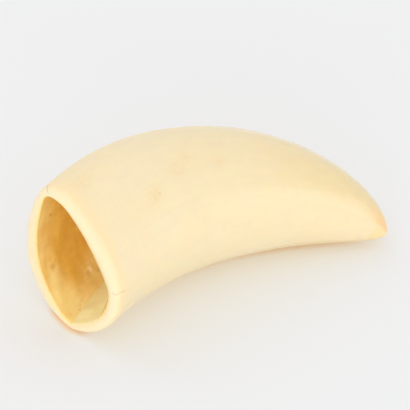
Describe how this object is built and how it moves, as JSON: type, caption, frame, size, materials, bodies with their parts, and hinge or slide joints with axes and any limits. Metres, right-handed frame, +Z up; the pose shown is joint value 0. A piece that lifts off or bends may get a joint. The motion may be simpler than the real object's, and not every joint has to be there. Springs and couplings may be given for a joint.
{
  "type": "whale tooth",
  "caption": "Curved conical sperm whale tooth of polished ivory, lying on its side, with a worn tip and an open root that shows the deep pulp cavity.",
  "frame": {"origin": "centre of the bounding box, on the surface that the tooth lies on", "axes": "+X from the open root towards the tip, +Y towards the tooth's outer, convex side, +Z up from the surface"},
  "size_m": [0.1442, 0.1002, 0.0595],
  "materials": {
    "ivory": "polished"
  },
  "bodies": {
    "root": {"tooth": "ivory"}
  },
  "joints": []
}
